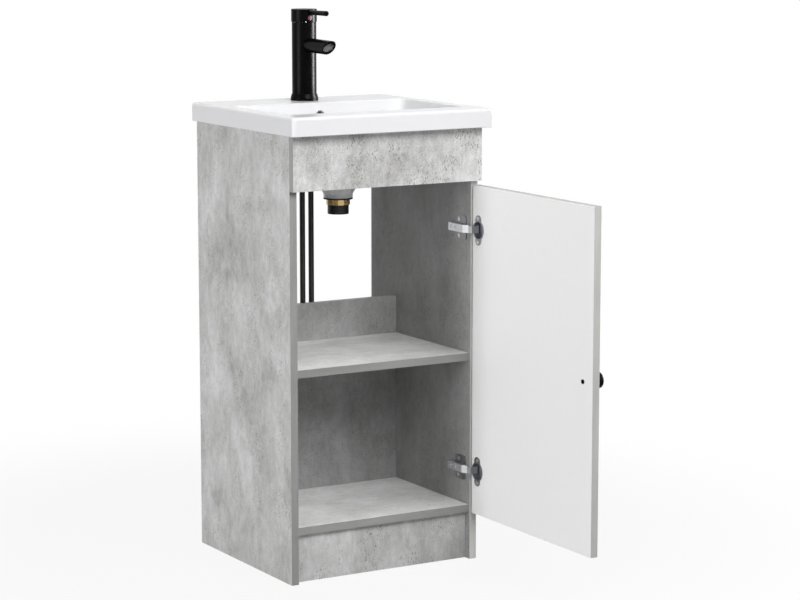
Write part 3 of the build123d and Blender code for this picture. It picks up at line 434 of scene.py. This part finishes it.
# Door, fascia, plinth and left side (0.46-0.52) hold the laminate's own grey. The right side (0.34), back
# (0.30) and rear rail (0.40) are darker by painted shade.
# The boards stand for one laminate, but each piece's tone was set to the light it gets in one view: painted
# shade and painted light.
# The edge banding's tone differs by piece in the same way, from 0.25 to 0.60: painted shade and painted
# light. The right side's edge is far paler than the left's.
# The shelves (0.72-0.76) are paler by painted light.
boards = {
    "side_panel_left": board_material(
        "board_side_left", 0.52, thin_x, upright, offset=(0.0, 0.0, 0.0), contrast=1.0, pits=0.9,
        edge_tone_with_painted_light=0.27, patches=side_patches),
    "side_panel_right": board_material(
        "board_side_right_painted_shade_and_light", 0.34, thin_x, upright, offset=(0.3, 0.7, 0.1), contrast=0.7, pits=0.8,
        edge_tone_with_painted_light=0.60),
    "fascia_panel": board_material(
        "board_fascia", 0.47, thin_y, upright, offset=(1.2, 0.4, 0.3), contrast=1.3, pits=1.3),
    "plinth": board_material(
        "board_plinth", 0.475, thin_y, upright, offset=(2.1, 0.9, 0.6), contrast=1.0, pits=1.0),
    "back_panel": board_material(
        "board_back_painted_shade", 0.30, thin_y, upright, offset=(3.3, 0.2, 0.4), contrast=0.8, pits=0.7),
    "rear_rail": board_material(
        "board_rail_painted_shade", 0.40, thin_y, sideways, offset=(4.0, 0.2, 0.4), contrast=0.8, pits=0.7),
    "base_shelf": board_material(
        "board_base_shelf_painted_light_and_shade", 0.76, thin_z, sideways, offset=(0.5, 1.1, 0.2), contrast=0.6, pits=0.4,
        edge_tone_with_painted_light=0.28),
    "middle_shelf": board_material(
        "board_middle_shelf_painted_light_and_shade", 0.72, thin_z, sideways, offset=(0.8, 2.1, 0.9), contrast=0.6, pits=0.4,
        edge_tone_with_painted_light=0.25),
    "door_panel": board_material(
        "board_door", 0.46, thin_x, upright, offset=(5.0, 1.3, 0.5), contrast=1.0, pits=1.0,
        edge_tone_with_painted_light=0.42, liner_limit=door_low.x + liner_thickness),
}
ceramic = ceramic_material()
black_coat = coated_material("black_coat", 0.001, 0.30, 0.042)
black_plastic = coated_material("black_plastic", 0.014, 0.45, 0.35, 500.0)
grey_plastic = coated_material("grey_plastic", 0.25, 0.45, 0.4)
nickel = metal_material("nickel", (0.60, 0.59, 0.57), 0.24, (1.0, 0.1, 1.0))
dark_nickel = metal_material("dark_nickel", (0.30, 0.30, 0.31), 0.34)
cup_plate = metal_material("cup_plate", (0.33, 0.33, 0.36), 0.36)
arm_plate = metal_material("arm_plate", (0.72, 0.73, 0.75), 0.40)
bright_nickel = metal_material("bright_nickel", (0.72, 0.71, 0.69), 0.2, (0.1, 1.0, 1.0))
brass = metal_material("brass_turned", (0.60, 0.43, 0.20), 0.28, (0.1, 0.1, 1.0))
beech = wood_material()
rubber = rubber_material()
hose_jacket = hose_material()

finishes = {
    "knob": black_coat, "knob_screw": black_coat,
    "cam_bolts": nickel, "cam_locks": dark_nickel, "dowels": beech,
    "hinge_cup_screws": bright_nickel, "hinge_plate_screws": bright_nickel,
    "hinge_adjust_screws": bright_nickel,
    "basin": ceramic,
    "waste_body": black_plastic, "waste_top_seal": rubber, "waste_gasket": rubber,
    "waste_nut": brass, "plug": black_coat, "plug_stem": black_plastic,
    "faucet_body": black_coat, "faucet_base_ring": black_coat, "base_gasket": rubber,
    "aerator": aerator_material(), "cartridge": grey_plastic, "retaining_ring": dark_nickel,
    "handle_carrier": dark_nickel, "tilt_pin": nickel, "handle_cap": black_coat, "lever": black_coat,
    "indicator_red": mark_material("mark_red", (0.55, 0.03, 0.03)),
    "indicator_blue": mark_material("mark_blue", (0.45, 0.60, 0.80)),
    "faucet_stud": nickel, "clamp_rubber": rubber, "clamp_plate": nickel, "faucet_nut": brass,
    "hose_nipples": brass, "hose_ferrules_top": nickel,
}
for side in ("left", "right"):
    finishes["hose_" + side] = hose_jacket
    finishes["end_ferrule_" + side] = nickel
    finishes["end_nut_" + side] = bright_nickel
for end in ("upper", "lower"):
    finishes["hinge_arm_" + end] = arm_plate
    finishes["hinge_plate_" + end] = dark_nickel
    finishes["hinge_cup_" + end] = cup_plate
    finishes["hinge_pin_" + end] = nickel
finishes.update(boards)

for name, material in finishes.items():
    mesh = nodes[name].data
    mesh.materials.clear()
    mesh.materials.append(material)


def soften(name):
    """Rounds a board's sharp edges with a small bevel, shaded smoothly."""
    piece = nodes[name]
    weld = piece.modifiers.new("weld", "WELD")
    weld.merge_threshold = weld_distance
    bevel = piece.modifiers.new("bevel", "BEVEL")
    bevel.width = board_round
    bevel.segments = board_round_segments
    bevel.limit_method = "ANGLE"
    bevel.angle_limit = math.radians(board_round_angle)
    bevel.harden_normals = True
    bevel.use_clamp_overlap = True


for name in boards:
    soften(name)


def hang_hose(side, sign):
    """One supply hose, hanging dead straight from its ferrule to its end ferrule."""
    length = hose_lengths[side]
    top = Vector((sign * hose_side, hose_back, hose_top))
    points = [top, top - Vector((0, 0, hose_straight)), top - Vector((0, 0, length))]
    curve = bpy.data.curves.new("hose_line_" + side, "CURVE")
    curve.dimensions = "3D"
    spline = curve.splines.new("NURBS")
    spline.points.add(len(points) - 1)
    for point, place in zip(spline.points, points):
        point.co = (*place, 1.0)
    spline.order_u = 3
    spline.use_endpoint_u = True
    curve.bevel_depth = hose_diameter / 2
    curve.bevel_resolution = 10
    curve.use_fill_caps = True
    curve.materials.append(hose_jacket)
    piece = bpy.data.objects.new("hung_hose_" + side, curve)
    bpy.context.scene.collection.objects.link(piece)
    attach(piece, "cabinet")
    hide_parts("hose_" + side)


hang_hose("left", -1)
hang_hose("right", 1)


def add_camera():
    """The photograph's view."""
    data = bpy.data.cameras.new("camera")
    data.lens = camera_lens
    data.sensor_width = camera_sensor
    data.clip_start = camera_clip[0]
    data.clip_end = camera_clip[1]
    camera = bpy.data.objects.new("camera", data)
    camera.location = camera_place
    camera.rotation_euler = Euler((math.radians(90.0 - camera_down), 0.0, math.radians(-camera_turn)))
    bpy.context.scene.collection.objects.link(camera)
    bpy.context.scene.camera = camera


def add_area(name, place, target, size, power):
    """A soft box at a place, looking at a target. size is its width and height."""
    data = bpy.data.lights.new(name, "AREA")
    data.shape = "RECTANGLE"
    data.size = size[0]
    data.size_y = size[1]
    data.energy = power
    light = bpy.data.objects.new(name, data)
    light.location = place
    light.rotation_euler = (Vector(target) - Vector(place)).to_track_quat("-Z", "Y").to_euler()
    bpy.context.scene.collection.objects.link(light)
    return light


def add_world():
    """Soft light from all round, weaker from the rear; the camera, metal and glass see plain white."""
    world = bpy.data.worlds.new("studio")
    bpy.context.scene.world = world
    world.use_nodes = True
    tree = world.node_tree
    background = tree.nodes["Background"]
    rearward = add_axes(tree, "Generated")[1]
    ambient = add_range(tree, rearward, world_change[0], world_change[1], world_light, world_light_rear)
    strength = add_math(tree, "MAXIMUM", add_seen(tree), ambient)
    tree.links.new(strength, background.inputs["Strength"])
    background.inputs["Color"].default_value = (1.0, 1.0, 1.0, 1.0)


def add_floor():
    """Pale floor that reads white and keeps a soft shadow of the object."""
    bpy.ops.mesh.primitive_plane_add(size=floor_size, location=(0, 0, -floor_drop))
    floor = bpy.context.object
    floor.name = "floor"
    material = bpy.data.materials.new("floor_white")
    material.use_nodes = True
    tree = material.node_tree
    shader = tree.nodes["Principled BSDF"]
    shader.inputs["Base Color"].default_value = grey(floor_tone)
    shader.inputs["Roughness"].default_value = 0.9
    shader.inputs["Specular IOR Level"].default_value = 0.0
    glow = tree.nodes.new("ShaderNodeEmission")
    glow.inputs["Strength"].default_value = 1.0
    mix = tree.nodes.new("ShaderNodeMixShader")
    x, y = add_axes(tree)[:2]
    distance = add_math(tree, "SQRT", add_math(tree, "MULTIPLY_ADD", x, x, add_math(tree, "MULTIPLY", y, y)))
    glow_share = add_range(tree, distance, floor_shadow_reach[0], floor_shadow_reach[1], floor_glow, 1.0)
    tree.links.new(add_math(tree, "MULTIPLY", add_seen(tree), glow_share), mix.inputs[0])
    tree.links.new(shader.outputs[0], mix.inputs[1])
    tree.links.new(glow.outputs[0], mix.inputs[2])
    tree.links.new(mix.outputs[0], tree.nodes["Material Output"].inputs["Surface"])
    floor.data.materials.append(material)


add_camera()
add_world()
add_floor()
lights = {name: add_area(name, *values) for name, values in lamps.items()}

# One lamp only draws the faucet's bright rim, and one only lights the back
lights["rim_box"].visible_diffuse = False
lights["rear_box"].visible_glossy = False

scene = bpy.context.scene
scene.view_settings.view_transform = "Standard"
